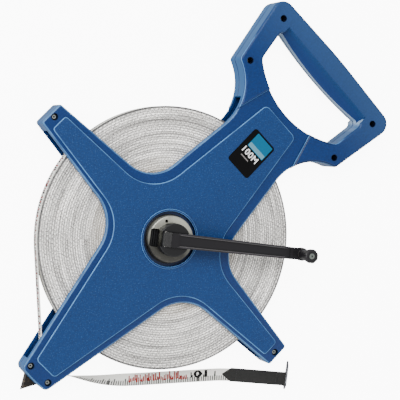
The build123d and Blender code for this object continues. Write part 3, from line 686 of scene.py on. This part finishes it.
# ---- wound tape ---------------------------------------------------------------------------------
def make_wound_tape(edges):
    """The pack: turn upon turn of tape whose edges stand slightly uneven."""
    low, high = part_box("wound_tape")
    outer = high.x
    turns, spokes = 81, 256
    random.seed(3)
    step = (outer - CORE) / turns
    profile = []
    drift = 0.0
    for i in range(turns):
        drift = 0.8 * drift + random.uniform(-0.09, 0.09) * MM
        lift = drift + random.uniform(-0.06, 0.06) * MM
        profile.append((CORE + (i + 0.08) * step, lift - 0.10 * MM))
        profile.append((CORE + (i + 0.5) * step, lift))
    profile.append((outer - 0.1 * MM, -0.15 * MM))
    tops = [(r, high.z - 0.25 * MM + h) for r, h in profile]
    ring = tops + [(outer, high.z - 0.6 * MM), (outer, low.z + 0.6 * MM)]
    ring += [(r, low.z + 0.25 * MM - h) for r, h in reversed(profile)]
    points = []
    for radius, z in ring:
        for k in range(spokes):
            angle = math.tau * k / spokes
            x, y = math.cos(angle), math.sin(angle)
            wave = noise.noise(Vector((x * 2.2, y * 2.2, radius * 260)))
            lift = math.copysign(0.16 * MM, z - MIDDLE) * wave
            points.append((radius * x, radius * y, z + lift))
    faces = ring_faces(len(ring), spokes)
    last = (len(ring) - 1) * spokes
    faces += [(last + k, last + (k + 1) % spokes, (k + 1) % spokes, k) for k in range(spokes)]
    mesh = bpy.data.meshes.new("pack")
    mesh.from_pydata(points, [], faces)
    finish_piece(mesh, "tape_pack", edges, "drum", "tape", "wound_tape")


# ---- end tab ------------------------------------------------------------------------------------
TAB_PLACE, TAB_ANGLE = Vector((0.0714, -0.1445, 0)), math.radians(-6.9)
TAB_LENGTH, TAB_WIDTH, TAB_THICK, EYE = 73 * MM, 14.6 * MM, 2.1 * MM, 2.2 * MM


def tab_matrix():
    return Matrix.Translation(TAB_PLACE) @ Matrix.Rotation(TAB_ANGLE, 4, "Z")


def make_end_tab(webbing, thread):
    """A folded webbing sleeve: pointed over the tape, sewn, and looped round the ring's wire."""
    stations = [0.4 * MM, 3 * MM, 6.5 * MM, 10 * MM, 10.6 * MM, 13 * MM]
    stations += [(13 + 4 * i) * MM for i in range(1, 13)]
    stations += [63.5 * MM, 64.6 * MM, 65.2 * MM, 65.8 * MM, 67 * MM, 69 * MM, 71 * MM]
    seam, tip = 65.2 * MM, 10 * MM
    profile = ((-1, 0.55), (-0.97, 0.88), (-0.8, 1.0), (-0.3, 1.03), (0.3, 1.03), (0.8, 1.0),
               (0.97, 0.88), (1, 0.55), (0.98, 0.12), (0.9, 0.02), (-0.9, 0.02), (-0.98, 0.12))
    rows = []
    for x in stations:
        half = TAB_WIDTH / 2 * min(1.0, 0.05 + 0.95 * x / tip)
        swell = 0.12 * MM * noise.noise(Vector((x * 90, 0.3, 0.7)))
        pinch = 0.55 * MM * math.exp(-((x - seam) / (0.8 * MM)) ** 2)
        thick = TAB_THICK - 0.15 * MM + swell - pinch
        if x < tip:
            thick = min(thick, 1.55 * MM + 0.5 * MM * x / tip)
        rows.append([(x, s * half, z * thick) for s, z in profile])
    # the loop round the wire, a little wider than the sleeve
    for degrees in (-50, -30, -10, 10, 30, 50, 70, 85):
        x = TAB_LENGTH + EYE * math.sin(math.radians(degrees))
        rise = EYE * math.cos(math.radians(degrees))
        low, high = 0.0 if degrees < 0 else EYE - rise, EYE + rise
        rows.append([(x, 1.03 * s * TAB_WIDTH / 2, low + (high - low) * min(z, 1.0))
                     for s, z in profile])
    points = [tab_matrix() @ Vector(p) for row in rows for p in row]
    flat = [(p[0] / MM, p[1] / MM) for row in rows for p in row]
    finish_piece(tube_mesh(points, len(profile), flat), "end_tab_webbing", webbing, "frame",
                 "tab_black", "end_tab")
    # two rows of stitches
    stitches = bmesh.new()
    for x in (seam - 3.2 * MM, 16 * MM):
        for k in range(7):
            y = (k - 3) * 1.9 * MM
            place = tab_matrix() @ Matrix.Translation((x, y, TAB_THICK - 0.05 * MM))
            bmesh.ops.create_uvsphere(stitches, u_segments=8, v_segments=6, radius=0.22 * MM,
                                      matrix=place @ Matrix.Diagonal((1, 3.2, 1, 1)))
    mesh = bpy.data.meshes.new("stitches")
    stitches.to_mesh(mesh)
    stitches.free()
    finish_piece(mesh, "end_tab_stitches", thread, "frame", "tab_black")


# ---- label --------------------------------------------------------------------------------------
def make_label(teal, pale, white, grey):
    """A generic printed label: a colour patch, a plain strip, the length, and a fine line."""
    low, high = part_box("label_plate")
    centre = Vector(((low.x + high.x) / 2, (low.y + high.y) / 2, high.z))
    # the label's own X runs down its short side and its Y towards the handle
    place = Matrix.Translation(centre) @ Matrix.Rotation(math.radians(-45), 4, "Z")

    def patch(name, x0, y0, x1, y1, lift, material, corner=1.0):
        """A flat printed patch with rounded corners, its sizes in millimetres."""
        outline = []
        for cx, cy, first in ((x1 - corner, y1 - corner, 0), (x0 + corner, y1 - corner, 90),
                              (x0 + corner, y0 + corner, 180), (x1 - corner, y0 + corner, 270)):
            for k in range(5):
                a = math.radians(first + 22.5 * k)
                outline.append((cx + corner * math.cos(a), cy + corner * math.sin(a)))
        points = [place @ Vector((x * MM, y * MM, lift * MM)) for x, y in outline]
        mesh = bpy.data.meshes.new(name)
        mesh.from_pydata(points, [], [tuple(range(len(points)))])
        finish_piece(mesh, name, material, "frame", "label", smooth=False)

    patch("label_patch", -9.5, 3.0, 13.2, 20.0, 0.04, teal)
    patch("label_strip", -8.9, 3.6, 12.6, 8.2, 0.07, pale, corner=0.7)
    patch("label_line", -8.0, -8.9, 3.0, -7.7, 0.05, grey, corner=0.5)
    words = text_mesh("100M", 9.2 * MM, "length", boldness=0.02, spacing=1.12)
    words.transform(place @ Matrix.Translation((-0.6 * MM, -2.2 * MM, 0.06 * MM)))
    finish_piece(words, "label_length", white, "frame", "label", smooth=False)


# ---- everything together ------------------------------------------------------------------------
def paint_nodes():
    """A detailed material for each CAD node that shows."""
    blue = make_blue()
    black = make_grained("black_plastic", srgb(23, 22, 25), 0.4)
    dark = make_grained("boss_plastic", srgb(15, 15, 17), 0.38)
    pale = make_grained("natural_acetal", srgb(226, 224, 214), 0.4, grain=700, depth=0.03,
                        speck=0.04)
    screw = make_metal("zinc_screws", srgb(118, 124, 120), 0.35, brush=(900, 900, 200), spots=0.3)
    bright = make_metal("nickel_steel", srgb(190, 188, 184), 0.25, spots=0.25)
    wire = make_metal("ring_wire", srgb(112, 114, 118), 0.38, spots=0.1)
    spike = make_metal("ground_steel", srgb(46, 44, 43), 0.45, brush=(500, 500, 3000), spots=0.5)
    spring = make_metal("phosphated_steel", srgb(60, 60, 64), 0.45)
    label = make_grained("label_film", srgb(2, 2, 3), 0.35, grain=500, depth=0.02, speck=0.06,
                         gloss=0.1)
    materials = {
        blue: ["front_shell", "rear_shell"],
        black: ["crank_knob"],
        make_arm(): ["crank_arm"],
        dark: ["crank_boss", "notch_insert", "drum_front_half", "drum_rear_half"],
        pale: ["thrust_washer", "rear_bush", "front_bush", "guide_roller"],
        make_frame_screw(): ["arm_screws", "handle_screws"],
        screw: ["drum_screws", "boss_screws", "knob_spindle"],
        bright: ["axle", "retaining_washer", "hinge_pin", "knob_washer", "guide_pin"],
        wire: ["end_ring"],
        spike: ["ground_spike"],
        spring: ["circlip"],
        label: ["label_plate"],
        make_disc(): ["crank_disc"],
    }
    for material, names in materials.items():
        for name in names:
            for place in NODES[name].material_slots:
                place.material = material


add_camera()
tape = make_tape()
black_ink = make_ink("black_ink", srgb(8, 8, 10))
red_ink = make_ink("red_ink", srgb(150, 22, 20))
free_tape, free_points, free_length = make_free_tape(tape, black_ink, red_ink)
make_tape_run(tape, black_ink, red_ink)
make_wound_tape(make_pack())
make_end_tab(make_tab(), make_ink("tab_thread", srgb(64, 64, 66)))
make_label(make_ink("label_teal", srgb(1, 92, 126)), make_ink("label_pale", srgb(90, 140, 158)),
           make_ink("label_white", srgb(236, 236, 236)),
           make_ink("label_grey", srgb(120, 116, 114)))
paint_nodes()
add_studio()
